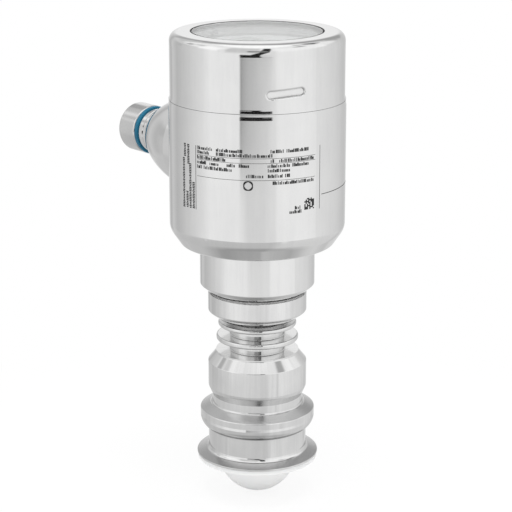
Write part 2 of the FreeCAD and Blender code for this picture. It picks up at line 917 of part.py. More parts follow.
def insert_cup():
    """Moulded cup with its screw wells and a ledge for the board."""
    ledge_r = insert_inner_r - board_ledge
    base_z = insert_z + insert_base_h
    cup = turned([
        (0, insert_z),
        (insert_r, insert_z, insert_edge),
        (insert_r, lid_z),
        (insert_inner_r, lid_z),
        (insert_inner_r, main_board_z),
        (ledge_r, main_board_z),
        (ledge_r, main_board_z - board_ledge),
        (insert_inner_r, main_board_z - 2 * board_ledge),
        (insert_inner_r, base_z),
        (0, base_z)])
    for x, y in well_places():
        cup = cup.fuse(Part.makeCylinder(well_r, insert_h - lid_lip_h, V(x, y, insert_z)))
    cup = cup.common(Part.makeCylinder(insert_r, insert_h, V(0, 0, insert_z)))
    for x, y in well_places():
        cup = cup.cut(Part.makeCylinder(well_bore_r, insert_h, V(x, y, base_z)))
        cup = cup.cut(Part.makeCylinder(screw_r, insert_base_h, V(x, y, insert_z)))
    return cup


def insert_screws():
    """Screws that hold the insert to the pillars."""
    head_z = insert_z + insert_base_h
    slot_z = head_z + screw_head_h - screw_slot_depth
    screws = []
    for x, y in well_places():
        shank = Part.makeCylinder(screw_r, screw_reach + insert_base_h, V(x, y, insert_z - screw_reach))
        head = Part.makeCylinder(screw_head_r, screw_head_h, V(x, y, head_z))
        slot = box_at(x, y, slot_z, 2 * screw_head_r, screw_slot_w, screw_slot_depth)
        screws.append(shank.fuse(head).removeSplitter().cut(slot))
    return Part.makeCompound(screws)


def main_board():
    """Round board that sits on the cup's ledge, with room for the screw wells."""
    board = ring(0, lip_r, main_board_z, board_h)
    for x, y in well_places():
        board = board.cut(Part.makeCylinder(well_r + insert_fit, board_h, V(x, y, main_board_z)))
    return board


def cable_connector():
    return ring(0, connector_r, insert_z - connector_h, connector_h)


def lid_blank():
    """Lid with its lip, the key's guide and the terminal tub, before the openings are cut."""
    lip_z = lid_z - lid_lip_h
    lid = turned([
        (0, lid_z),
        (lip_r - lid_lip_w, lid_z),
        (lip_r - lid_lip_w, lip_z),
        (lip_r, lip_z),
        (lip_r, lid_z),
        (insert_r, lid_z),
        (insert_r, insert_top_z, lid_edge),
        (0, insert_top_z)])
    guide_z = key_room_z - tub_wall
    guide = Part.makeCylinder(key_flange_r + tub_wall, insert_top_z - guide_z, V(key_x, key_y, guide_z))
    tub_l = terminal_length + 2 * tub_wall
    tub = box_at(terminal_x, 0, tub_z - tub_wall, tub_l, 2 * tub_half_w, terminal_sink + tub_wall)
    return lid.fuse(guide).fuse(tub)


def insert_lid():
    """Lid with the pockets for the terminals, the key and the switches."""
    lip_z = lid_z - lid_lip_h
    lid = lid_blank().cut(box_at(terminal_x, 0, tub_z, terminal_length, terminal_w, terminal_sink))
    for x, y in well_places():
        lid = lid.cut(Part.makeCylinder(well_bore_r, lid_h + lid_lip_h, V(x, y, lip_z)))
        lid = lid.cut(Part.makeCylinder(well_r + insert_fit, lid_lip_h, V(x, y, lip_z)))
    stem_hole = Part.makeCylinder(key_r + key_fit, insert_top_z - key_room_z, V(key_x, key_y, key_room_z))
    flange_room = Part.makeCylinder(key_flange_r + key_fit, key_flange_h + key_play,
                                    V(key_x, key_y, key_room_z))
    switch_pocket = box_at(switch_x, switch_y, switch_z, switch_l, switch_w, switch_sink)
    return lid.cut(stem_hole).cut(flange_room).cut(switch_pocket)


def reset_key():
    """Push key held under the lid by its flange."""
    flange_top_z = insert_top_z - key_cap_h - key_fit
    stem = Part.makeCylinder(key_r, insert_top_z + key_proud - flange_top_z, V(key_x, key_y, flange_top_z))
    flange = Part.makeCylinder(key_flange_r, key_flange_h, V(key_x, key_y, flange_top_z - key_flange_h))
    return stem.fuse(flange).removeSplitter()


def terminal_places():
    """Place of each terminal along the block."""
    middle = (terminal_count - 1) / 2
    return [(i - middle) * terminal_pitch for i in range(terminal_count)]


def terminal_block():
    """Moulded block with a screw well and a wire hole for each terminal."""
    block = box_at(terminal_x, 0, tub_z, terminal_length, terminal_w, terminal_h)
    screw_x = terminal_x + terminal_screw_offset
    face_x = terminal_x - terminal_length / 2
    wire_z = tub_z + terminal_h - terminal_wire_cover - terminal_wire_r
    well_h = terminal_screw_h + terminal_screw_sink
    for y in terminal_places():
        well = Part.makeCylinder(terminal_well_r, well_h, V(screw_x, y, terminal_screw_z))
        wire = Part.makeCylinder(terminal_wire_r, terminal_wire_h, V(face_x, y, wire_z), V(1, 0, 0))
        block = block.cut(well).cut(wire)
    return block


def terminal_screws():
    screw_x = terminal_x + terminal_screw_offset
    slot_z = terminal_screw_z + terminal_screw_h - terminal_slot_depth
    screws = []
    for y in terminal_places():
        head = Part.makeCylinder(terminal_screw_r, terminal_screw_h, V(screw_x, y, terminal_screw_z))
        slot = box_at(screw_x, y, slot_z, 2 * terminal_screw_r, terminal_slot_w, terminal_slot_depth)
        screws.append(head.cut(slot))
    return Part.makeCompound(screws)


def slider_places():
    """Place of each slider across the switch."""
    return [switch_x - slider_pitch / 2, switch_x + slider_pitch / 2]


def switch_body():
    """Double slide switch with a slot for each slider."""
    body = box_at(switch_x, switch_y, switch_z, switch_l, switch_w, switch_h)
    slot_w = slider_w + 2 * slider_fit
    slot_l = slider_l + slider_travel + 2 * slider_fit
    for x in slider_places():
        body = body.cut(box_at(x, switch_y, switch_top_z - slider_depth, slot_w, slot_l, slider_depth))
    return body


def slider(x):
    """Slider at the end of its slot nearest the housing's wall."""
    start_y = switch_y - slider_travel / 2
    z = switch_top_z - slider_depth + slider_fit
    return box_at(x, start_y, z, slider_w, slider_l, slider_depth - slider_fit + slider_proud)


def display_housing():
    """Round display case on four feet, with a recess for the screen."""
    face_under_z = display_top_z - display_face_h
    shell = turned([
        (0, face_under_z),
        (display_inner_r, face_under_z),
        (display_inner_r, display_z),
        (display_r, display_z),
        (display_r, display_top_z, display_edge),
        (0, display_top_z)])
    leg = Part.makeCylinder(display_leg_r, face_under_z - insert_top_z,
                            V(display_leg_circle_r, 0, insert_top_z))
    for post in around(leg, display_leg_count, display_leg_first_deg):
        shell = shell.fuse(post)
    return shell.cut(box_at(0, 0, screen_z, screen_l, screen_w, screen_sink + screen_h))


def display_screen():
    return box_at(0, 0, screen_z, screen_l, screen_w, screen_h)


def pieces():
    """Every piece by its node name."""
    lower_seal_z, upper_seal_z = seal_levels()
    alarm_x, lock_x = slider_places()
    return {
        "antenna_lens": antenna_lens(),
        "process_adapter": process_adapter(),
        "horn_antenna": horn_antenna(),
        "horn_seal": horn_seal(),
        "waveguide_tube": waveguide_tube(),
        "sensor_neck": sensor_neck(),
        "glass_feedthrough": glass_feedthrough(),
        "module_holder": module_holder(),
        "radar_board": radar_board(),
        "radar_shield": radar_shield(),
        "neck_cap": neck_cap(),
        "sensor_cable": sensor_cable(),
        "swivel_washer": swivel_washer(),
        "swivel_seal_lower": swivel_seal(lower_seal_z),
        "swivel_seal_upper": swivel_seal(upper_seal_z),
        "stop_washer": stop_washer(),
        "retaining_ring": retaining_ring(),
        "housing_body": housing_body(),
        "stop_pin": stop_pin(),
        "cable_connector": cable_connector(),
        "insert_cup": insert_cup(),
        "insert_screws": insert_screws(),
        "main_board": main_board(),
        "insert_lid": insert_lid(),
        "terminal_block": terminal_block(),
        "terminal_screws": terminal_screws(),
        "reset_key": reset_key(),
        "switch_body": switch_body(),
        "alarm_slider": slider(alarm_x),
        "lock_slider": slider(lock_x),
        "display_housing": display_housing(),
        "display_screen": display_screen(),
        "cover_shell": cover_shell(),
        "cover_seal": cover_seal(),
        "sight_glass": sight_glass(),
        "glass_gasket": glass_gasket(),
        "glass_retainer": glass_retainer(),
        "plug_body": plug_body(),
        "plug_seal": plug_seal(),
    }


os.makedirs("parts", exist_ok=True)
for node, shape in pieces().items():
    shape.exportStep("parts/" + node + ".step")
    print(node, "solids", len(shape.Solids), "valid", shape.isValid(), "volume", round(shape.Volume, 1))
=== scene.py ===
import bmesh
import bpy
import json
import math
import random
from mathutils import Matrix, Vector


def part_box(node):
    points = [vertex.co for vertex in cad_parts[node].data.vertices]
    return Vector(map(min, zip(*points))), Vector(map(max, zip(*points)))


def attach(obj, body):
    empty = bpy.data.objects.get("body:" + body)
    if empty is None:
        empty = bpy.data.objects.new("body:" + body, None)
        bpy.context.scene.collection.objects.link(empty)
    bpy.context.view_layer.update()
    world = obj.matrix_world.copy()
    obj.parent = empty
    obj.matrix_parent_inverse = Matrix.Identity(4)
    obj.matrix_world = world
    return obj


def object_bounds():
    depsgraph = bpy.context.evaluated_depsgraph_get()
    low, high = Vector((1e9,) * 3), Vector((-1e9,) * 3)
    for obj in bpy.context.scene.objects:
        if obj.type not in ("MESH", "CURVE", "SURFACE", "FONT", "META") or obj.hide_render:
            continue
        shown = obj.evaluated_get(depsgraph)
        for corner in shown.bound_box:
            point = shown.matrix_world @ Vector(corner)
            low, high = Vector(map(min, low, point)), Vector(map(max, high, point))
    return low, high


# Looks of a radar level transmitter in polished stainless steel. Metres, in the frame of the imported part.

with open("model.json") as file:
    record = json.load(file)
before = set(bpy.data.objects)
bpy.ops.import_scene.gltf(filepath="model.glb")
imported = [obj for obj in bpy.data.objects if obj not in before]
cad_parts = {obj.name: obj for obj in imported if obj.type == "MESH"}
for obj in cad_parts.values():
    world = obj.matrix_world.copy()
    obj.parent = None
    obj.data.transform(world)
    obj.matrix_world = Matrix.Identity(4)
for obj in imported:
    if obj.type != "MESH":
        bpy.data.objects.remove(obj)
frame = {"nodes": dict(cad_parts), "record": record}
cad_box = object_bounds()
nodes = frame["nodes"]

MM = 0.001

# Sizes read from the frame
plug_low, plug_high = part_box("plug_body")
entry_z = (plug_low.z + plug_high.z) / 2
can_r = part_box("housing_body")[1].x
cover_low, cover_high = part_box("cover_shell")
seam_z = cover_low.z
ground_z = cad_box[0][2]

# Camera, at the photograph's angle
camera_azimuth = math.radians(50)
camera_pitch = math.radians(15.83)
camera_place = (0.6888, -0.5780, 0.3648)
camera_lens = 126.35
camera_shift_x = -0.00244
camera_shift_y = 0.00098


def add_camera():
    data = bpy.data.cameras.new("camera")
    data.lens = camera_lens
    data.sensor_width = 36
    data.shift_x = camera_shift_x
    data.shift_y = camera_shift_y
    data.clip_end = 20
    camera = bpy.data.objects.new("camera", data)
    camera.location = camera_place
    camera.rotation_euler = (math.pi / 2 - camera_pitch, 0, camera_azimuth)
    bpy.context.scene.collection.objects.link(camera)
    bpy.context.scene.camera = camera


def colour(value):
    """Adds the fourth number to a colour of three."""
    if isinstance(value, tuple) and len(value) == 3:
        return (*value, 1.0)
    return value


def grey(level):
    return (level, level, level)


class Graph:
    """Short calls for the nodes of one shader tree."""

    def __init__(self, tree):
        self.tree = tree
        self.tree.nodes.clear()

    def node(self, kind, **settings):
        node = self.tree.nodes.new(kind)
        for name, value in settings.items():
            setattr(node, name, value)
        return node

    def feed(self, socket, value):
        """Sets a socket, or links it if the value is another node's output."""
        if isinstance(value, bpy.types.NodeSocket):
            self.tree.links.new(value, socket)
        else:
            socket.default_value = value

    def math(self, operation, a, b=0.0, clamp=False):
        node = self.node("ShaderNodeMath", operation=operation, use_clamp=clamp)
        self.feed(node.inputs[0], a)
        self.feed(node.inputs[1], b)
        return node.outputs[0]

    def both(self, a, b):
        return self.math("MULTIPLY", a, b)

    def scale(self, value, low, high, to_low=0.0, to_high=1.0, smooth=True):
        """Maps low..high to to_low..to_high, flat outside."""
        kind = "SMOOTHSTEP" if smooth else "LINEAR"
        node = self.node("ShaderNodeMapRange", interpolation_type=kind, clamp=True)
        for socket, number in zip(node.inputs, (value, low, high, to_low, to_high)):
            self.feed(socket, number)
        return node.outputs[0]

    def mix(self, share, a, b):
        node = self.node("ShaderNodeMix", data_type="FLOAT")
        self.feed(node.inputs[0], share)
        self.feed(node.inputs[2], a)
        self.feed(node.inputs[3], b)
        return node.outputs[0]

    def mix_colour(self, share, a, b, blend="MIX"):
        node = self.node("ShaderNodeMix", data_type="RGBA", blend_type=blend)
        self.feed(node.inputs[0], share)
        self.feed(node.inputs[6], colour(a))
        self.feed(node.inputs[7], colour(b))
        return node.outputs[2]

    def split(self, vector):
        node = self.node("ShaderNodeSeparateXYZ")
        self.feed(node.inputs[0], vector)
        return node.outputs

    def join(self, x, y, z):
        node = self.node("ShaderNodeCombineXYZ")
        for socket, value in zip(node.inputs, (x, y, z)):
            self.feed(socket, value)
        return node.outputs[0]

    def noise(self, vector, scale, detail=2.0, roughness=0.5):
        node = self.node("ShaderNodeTexNoise")
        self.feed(node.inputs["Vector"], vector)
        node.inputs["Scale"].default_value = scale
        node.inputs["Detail"].default_value = detail
        node.inputs["Roughness"].default_value = roughness
        return node.outputs[0]

    def ramp(self, value, stops):
        node = self.node("ShaderNodeValToRGB")
        elements = node.color_ramp.elements
        for place, level in stops[2:]:
            elements.new(place)
        for element, (place, level) in zip(elements, stops):
            element.position = place
            element.color = (level, level, level, 1)
        self.feed(node.inputs[0], value)
        return node.outputs[0]

    def ramp_between(self, value, stops):
        """Ramp with its stops given in the value's own unit."""
        low, high = stops[0][0], stops[-1][0]
        share = self.scale(value, low, high, smooth=False)
        return self.ramp(share, [((place - low) / (high - low), level) for place, level in stops])

    def band(self, value, low, high, soft):
        """1 between low and high, 0 outside, with soft edges."""
        rise = self.scale(value, low - soft, low + soft)
        fall = self.scale(value, high - soft, high + soft, 1.0, 0.0)
        return self.both(rise, fall)

    def radius(self, a, b):
        squares = self.math("ADD", self.both(a, a), self.both(b, b))
        return self.math("POWER", squares, 0.5)

    def bump(self, height, strength, distance, normal=None):
        node = self.node("ShaderNodeBump")
        node.inputs["Strength"].default_value = strength
        node.inputs["Distance"].default_value = distance
        self.feed(node.inputs["Height"], height)
        if normal is not None:
            self.feed(node.inputs["Normal"], normal)
        return node.outputs[0]


# Studio, as directions in degrees: azimuth 0 is the camera's side and grows to the right

backdrop_level = 1.0
fill_level = 0.86

# The sky fades in above the walls, and is darker behind the object
sky_height = (14.0, 26.0)
sky_level_front = 1.0
sky_level_behind = 0.47
sky_behind = (126.0, 142.0)

# Softbox overhead: how high it starts, and how far it reaches to the camera's side
softbox_height = (58.0, 68.0)
softbox_ahead = (-0.26, -0.16)
softbox_level = 1.22

# Light that the walls send at eye level, as azimuth and level
wall_stops = [
    (-180, 0.95), (-163, 0.66), (-153, 0.50), (-143, 0.67), (-128, 0.56), (-100, 0.71),
    (-76, 0.85), (-63, 0.98), (-24, 0.96), (22, 0.86), (27, 0.98), (60, 1.0),
    (74, 0.96), (84, 0.88), (120, 0.79), (150, 0.62), (163, 0.64), (180, 0.95),
]

# Light from the ground, as height and level, stronger on the right and even behind
ground_stops = [
    (-90, 0.47), (-78, 0.43), (-66, 0.38), (-58, 0.50),
    (-50, 0.60), (-40, 0.60), (-24, 0.62), (-15, 0.70),
]
ground_height = (-17.0, -23.0)
ground_right = (28.0, 140.0, 12.0)
ground_gain_right = 1.25
ground_behind = (146.0, 160.0)
ground_level_behind = 0.85

# Panels as azimuths, heights, softness of the sides, softness of top and bottom, and level
studio_panels = [
    ("left panel", -84, -52, 14, 44, 4, 6, 1.16),
    ("left wall, upper part", -152, -118, 14, 28, 4, 5, 0.72),
    ("left shade", -116, -103, 24, 36, 4, 4, 0.50),
    ("upper left shade", -103, -84, 34, 44, 4, 4, 0.72),
    ("rear left screen", -150, -128, 26, 64, 4, 4, 0.66),
    ("right panel", 27, 104, 14, 44, 4, 6, 1.08),
    ("grey screen ahead", -44, 4, 10, 53, 5, 8, 0.70),
    ("rear left stand", -143, -135, 50, 62, 2, 2, 0.40),
    ("far left stand", -166, -156, 40, 52, 3, 3, 0.33),
    ("left post", -124, -115, 2, 12, 3, 3, 0.55),
    ("rear right stand", 104, 127, 44, 58, 3, 3, 0.20),
    ("rear right post", 148, 166, 15, 58, 3, 3, 0.42),
    ("rear right screen", 131, 146, 38, 62, 3, 3, 0.75),
    ("thin stand left", -75, -71, -27, -18.6, 1.5, 0.6, 0.72),
    ("white edge right", 33, 41, -27, -18.6, 2, 0.6, 0.86),
    ("thin stand right", 46, 51, -27, -18.6, 2, 0.6, 0.76),
    ("backdrop left", -190, -170, 8, 44, 4, 5, 0.96),
    ("backdrop right", 172, 190, 8, 44, 4, 5, 0.96),
    ("right shade", 62, 84, 43, 52, 5, 3, 0.48),
    ("high right shade", 84, 104, 57, 65, 4, 3, 0.55),
    ("rear left foot", -171, -150, -37, -21, 3, 3, 0.60),
    ("rear right foot", 152, 171, -37, -21, 3, 3, 0.72),
    ("foot of the gap", -17, 13, -17, -9, 7, 2.5, 0.80),
]

# Dark gap ahead, where the camera stands, with a black bar across it that drops to the right
gap_left = -22.0
gap_right = 19.0
gap_low = -13.0
gap_high = 2.0
gap_soft_side = 1.5
gap_soft_end = 1.2
gap_stops = [(0.0, 0.30), (0.07, 0.46), (0.2, 0.56), (0.5, 0.66), (0.8, 0.76), (1.0, 0.84)]
bar_low = -8.5
bar_high = 1.0
bar_high_right = -5.0
bar_drop = (0.0, 8.0)
bar_soft_side = 1.2
bar_soft_end = 0.5
bar_level = 0.01

# Black arm up from the bar: two runs of heights with the azimuths of its middle, which add up
arm_lean = (-6.0, 15.0, -8.0, 10.0)
arm_bend = (15.0, 52.0, 0.0, 6.0)
arm_half_width = 5.5
arm_soft_side = 1.5
arm_low = -2.0
arm_high = 51.0
arm_soft_end = 2.0
arm_level = 0.02
arm_knee = (-13.0, 14.0, 14.5, 20.5, 1.5, 0.8, 0.25)


def add_panel(g, azimuth, height, level, panel):
    left, right, low, high, soft_side, soft_end, shade = panel
    inside = g.both(g.band(azimuth, left, right, soft_side), g.band(height, low, high, soft_end))
    return g.mix(inside, level, shade)


def studio_rooms(g, azimuth, height, ahead):
    """Walls at eye level, the open studio above them and the ground below."""
    turned_away = g.math("ABSOLUTE", azimuth)
    walls = g.ramp_between(azimuth, wall_stops)
    sky = g.mix(g.scale(turned_away, *sky_behind), sky_level_front, sky_level_behind)
    level = g.mix(g.scale(height, *sky_height), walls, sky)
    ground = g.ramp_between(height, ground_stops)
    ground = g.both(ground, g.mix(g.band(azimuth, *ground_right), 1.0, ground_gain_right))
    ground = g.mix(g.scale(turned_away, *ground_behind), ground, ground_level_behind)
    level = g.mix(g.scale(height, *ground_height), level, ground)
    softbox = g.both(g.scale(height, *softbox_height), g.scale(ahead, *softbox_ahead))
    return g.mix(softbox, level, softbox_level)


def studio_gap(g, azimuth, height, level):
    """The gap, darkest at its left edge, and the bar across it."""
    sides = g.band(azimuth, gap_left, gap_right, gap_soft_side)
    gap = g.both(sides, g.band(height, gap_low, gap_high, gap_soft_end))
    shade = g.ramp(g.scale(azimuth, gap_left, gap_right, smooth=False), gap_stops)
    level = g.mix(gap, level, shade)
    bar_top = g.scale(azimuth, *bar_drop, bar_high, bar_high_right)
    over_foot = g.scale(height, bar_low - bar_soft_end, bar_low + bar_soft_end)
    under_top = g.scale(g.math("SUBTRACT", height, bar_top), -bar_soft_end, bar_soft_end, 1.0, 0.0)
    bar = g.both(g.band(azimuth, gap_left, gap_right, bar_soft_side), g.both(over_foot, under_top))
    return g.mix(bar, level, bar_level)


def studio_arm(g, azimuth, height, level):
    middle = g.math("ADD", g.scale(height, *arm_lean, smooth=False), g.scale(height, *arm_bend, smooth=False))
    miss = g.math("ABSOLUTE", g.math("SUBTRACT", azimuth, middle))
    inside = g.scale(miss, arm_half_width, arm_half_width + arm_soft_side, 1.0, 0.0)
    arm = g.both(inside, g.band(height, arm_low, arm_high, arm_soft_end))
    level = g.mix(arm, level, arm_level)
    return add_panel(g, azimuth, height, level, arm_knee)


def add_world():
    world = bpy.data.worlds.new("studio")
    bpy.context.scene.world = world
    world.use_nodes = True
    g = Graph(world.node_tree)
    turn = g.node("ShaderNodeVectorRotate", rotation_type="Z_AXIS")
    g.feed(turn.inputs["Vector"], g.node("ShaderNodeTexCoord").outputs["Generated"])
    turn.inputs["Angle"].default_value = math.pi / 2 - camera_azimuth
    ahead, side, rise = g.split(turn.outputs[0])
    azimuth = g.math("DEGREES", g.math("ARCTAN2", side, ahead))
    height = g.math("DEGREES", g.math("ARCSINE", rise))

    level = studio_rooms(g, azimuth, height, ahead)
    for name, *panel in studio_panels:
        level = add_panel(g, azimuth, height, level, panel)
    level = studio_gap(g, azimuth, height, level)
    level = studio_arm(g, azimuth, height, level)

    # Straight rays see the plain backdrop, mirrored ones the studio; the rest is plain fill
    path = g.node("ShaderNodeLightPath").outputs
    straight = g.math("ADD", path["Is Camera Ray"], path["Is Transmission Ray"], clamp=True)
    seen = g.math("ADD", straight, path["Is Glossy Ray"], clamp=True)
    backdrop = g.mix(straight, level, backdrop_level)
    light = g.mix(seen, fill_level, backdrop)
    background = g.node("ShaderNodeBackground")
    g.feed(background.inputs["Color"], light)
    g.feed(g.node("ShaderNodeOutputWorld").inputs["Surface"], background.outputs[0])


lamp_place = (0.12, -0.1, 0.95)
lamp_tilt_deg = (9, 7)
lamp_size = 0.7
lamp_power = 5.0


def add_lamp():
    data = bpy.data.lights.new("overhead_softbox", "AREA")
    data.shape = "DISK"
    data.size = lamp_size
    data.energy = lamp_power
    lamp = bpy.data.objects.new("overhead_softbox", data)
    lamp.location = lamp_place
    lamp.rotation_euler = (*[math.radians(tilt) for tilt in lamp_tilt_deg], 0)
    lamp.visible_glossy = False
    bpy.context.scene.collection.objects.link(lamp)


# Floor: white, with a faint shadow near the object

floor_r = 0.26
floor_drop = 0.2 * MM
floor_tone = 0.9
floor_white_near = 0.88
floor_fade = (0.5, 0.98)
floor_segments = 96


def add_floor():
    bm = bmesh.new()
    bmesh.ops.create_circle(bm, cap_ends=True, radius=floor_r, segments=floor_segments)
    mesh = bpy.data.meshes.new("studio_floor")
    bm.to_mesh(mesh)
    bm.free()
    floor = bpy.data.objects.new("studio_floor", mesh)
    floor.location = (0, 0, ground_z - floor_drop)
    floor.visible_glossy = False
    bpy.context.scene.collection.objects.link(floor)

    material = bpy.data.materials.new("studio_floor")
    material.use_nodes = True
    g = Graph(material.node_tree)
    x, y, z = g.split(g.node("ShaderNodeTexCoord").outputs["Object"])
    path = g.node("ShaderNodeLightPath").outputs
    seen = g.math("ADD", path["Is Camera Ray"], path["Is Glossy Ray"], clamp=True)
    seen = g.math("ADD", seen, path["Is Transmission Ray"], clamp=True)
    fade_from, fade_to = [share * floor_r for share in floor_fade]
    whiteness = g.scale(g.radius(x, y), fade_from, fade_to, floor_white_near, 1.0)
    white = g.node("ShaderNodeEmission")
    diffuse = g.node("ShaderNodeBsdfDiffuse")
    diffuse.inputs["Color"].default_value = colour(grey(floor_tone))
    mixed = g.node("ShaderNodeMixShader")
    g.feed(mixed.inputs[0], g.both(seen, whiteness))
    g.feed(mixed.inputs[1], diffuse.outputs[0])
    g.feed(mixed.inputs[2], white.outputs[0])
    g.feed(g.node("ShaderNodeOutputMaterial").inputs["Surface"], mixed.outputs[0])
    mesh.materials.append(material)


# Materials

# Small slopes that polishing left by the seam, at the cover's shoulder and on the collar's crown
seam_slope = 0.042
seam_above = (0.3 * MM, 1.6 * MM)
seam_below = (-3.1 * MM, -1.55 * MM)
shoulder_z = cover_high.z - 4.5 * MM
shoulder_foot = -1.9 * MM
shoulder_knee = -0.6 * MM
shoulder_top = 0.9 * MM
shoulder_run_out = 0.3 * MM
shoulder_foot_slope = 0.045
shoulder_knee_slope = 0.095
shoulder_slope = 0.14
crown_low = 23.4 * MM
crown_high = 24.75 * MM
crown_slope = 0.10

slope_soft = 0.1 * MM
shoulder_soft = 0.05 * MM
crown_soft = 0.15 * MM

# Painted shade at the root of the collar: a darker band on the downward faces under its rim
root_shade_low = 16.6 * MM
root_shade_high = 19.8 * MM
root_shade_soft = 0.8 * MM
root_shade_tone = 0.35

# Painted shade in corners: reach of the darkening, the level that it falls to, and the openness between which
# it fades
painted_corner_shade_reach = 1.6 * MM
painted_corner_shade_level = 0.22
dull_painted_corner_shade_reach = 3.0 * MM
dull_painted_corner_shade_level = 0.62
painted_corner_shade_open = (0.30, 0.85)

# How steep a face is, as the upright part of its normal: the low cones, level faces and undersides
cone_steepness = (0.84, 0.975, 0.02)
flat_steepness = (0.97, 0.99)
underside_steepness = (-0.25, -0.55)
# Darker tone of the low cones: painted shade
cone_shade_tone = 0.80
cone_roughness = 0.17
flat_roughness = 0.05

# Patterns, as scale, detail and roughness of their noise
steel_clouds = (55.0, 3.0, 0.55)
steel_streaks = (14.0, 4.0, 0.65)
streak_stretch = 2.0
turning_drift = (60.0, 1.0)
turning_drift_share = 0.8
turning_detail = (3.0, 0.6)
moulded_clouds = (90.0, 3.0, 0.5)
moulded_grain = (2500.0, 2.0, 0.6)
noise_low = 0.3
noise_high = 0.7

marks_depth = 0.02 * MM
grain_strength = 0.25
grain_depth = 0.03 * MM


class Finish(Graph):
    """A Principled material with the coordinates that its patterns use."""

    def __init__(self, name, **constants):
        material = bpy.data.materials.new(name)
        material.use_nodes = True
        super().__init__(material.node_tree)
        self.material = material
        self.shader = self.node("ShaderNodeBsdfPrincipled")
        output = self.node("ShaderNodeOutputMaterial")
        self.tree.links.new(self.shader.outputs[0], output.inputs["Surface"])
        for socket, value in constants.items():
            self.shader.inputs[socket.replace("_", " ")].default_value = colour(value)
        self.place = self.node("ShaderNodeTexCoord").outputs["Object"]
        self.x, self.y, self.z = self.split(self.place)

    def set(self, socket, value):
        self.feed(self.shader.inputs[socket], value)

    def varied(self, pattern, low, high):
        """Number or colour that follows a noise pattern from low to high."""
        if isinstance(low, tuple):
            return self.mix_colour(self.varied(pattern, 0.0, 1.0), low, high)
        return self.scale(pattern, noise_low, noise_high, low, high)

    def normal(self):
        return self.split(self.node("ShaderNodeNewGeometry").outputs["Normal"])

    def cones(self):
        """1 on the low cones of collar and ferrule, which the lathe leaves duller than the round faces, and
        whose darker tone is painted shade.
        """
        return self.band(self.math("ABSOLUTE", self.normal()[2]), *cone_steepness)

    def flat(self):
        """1 on level faces."""
        return self.scale(self.math("ABSOLUTE", self.normal()[2]), *flat_steepness)

    def underside(self):
        """1 where the surface looks down."""
        return self.scale(self.normal()[2], *underside_steepness)

    def worn_shape(self):
        """Normal with the small slopes that polishing left."""
        x, y, z = self.normal()
        above, below = [self.band(self.z, seam_z + low, seam_z + high, slope_soft)
                        for low, high in (seam_above, seam_below)]
        near_seam = self.math("ADD", above, below, clamp=True)
        z = self.mix(near_seam, z, self.math("MINIMUM", z, seam_slope))

        foot, knee, top = [shoulder_z + reach for reach in (shoulder_foot, shoulder_knee, shoulder_top)]
        first = self.scale(self.z, foot, knee, shoulder_foot_slope, shoulder_knee_slope, smooth=False)
        second = self.scale(self.z, knee, top, 0.0, shoulder_slope, smooth=False)
        shoulder = self.band(self.z, foot - shoulder_soft, top + shoulder_run_out, shoulder_soft)
        z = self.mix(shoulder, z, self.math("MAXIMUM", z, self.math("ADD", first, second)))

        crown = self.band(self.z, crown_low, crown_high, crown_soft)
        z = self.mix(crown, z, self.math("MAXIMUM", z, crown_slope))
        unit = self.node("ShaderNodeVectorMath", operation="NORMALIZE")
        self.feed(unit.inputs[0], self.join(x, y, z))
        return unit.outputs[0]

    def corners(self, tone, reach, level):
        """Tone with painted shade, which darkens it in the corners."""
        corner = self.node("ShaderNodeAmbientOcclusion", samples=6, only_local=True)
        corner.inputs["Distance"].default_value = reach
        shade = self.mix_colour(self.scale(corner.outputs["AO"], *painted_corner_shade_open), grey(level), grey(1.0))
        return self.mix_colour(1.0, tone, shade, "MULTIPLY")

    def streaks(self, along, radius):
        """Soft upright bands, left by the polishing belt."""
        across = self.join(self.math("DIVIDE", self.x, radius), self.math("DIVIDE", self.y, radius),
                           self.math("MULTIPLY", along, streak_stretch))
        return self.noise(across, *steel_streaks)

    def lathe_marks(self, along, radius, pitch):
        """Fine rings from turning, which drift a little round the part."""
        across = self.math("ADD", along, radius)
        drift = self.noise(self.place, *turning_drift)
        shifted = self.math("ADD", across, self.math("MULTIPLY", drift, pitch * turning_drift_share))
        line = self.join(0.0, 0.0, shifted)
        return self.noise(line, 1.0 / pitch, *turning_detail)

    def average(self, a, b):
        return self.math("ADD", self.math("MULTIPLY", a, 0.5), self.math("MULTIPLY", b, 0.5))


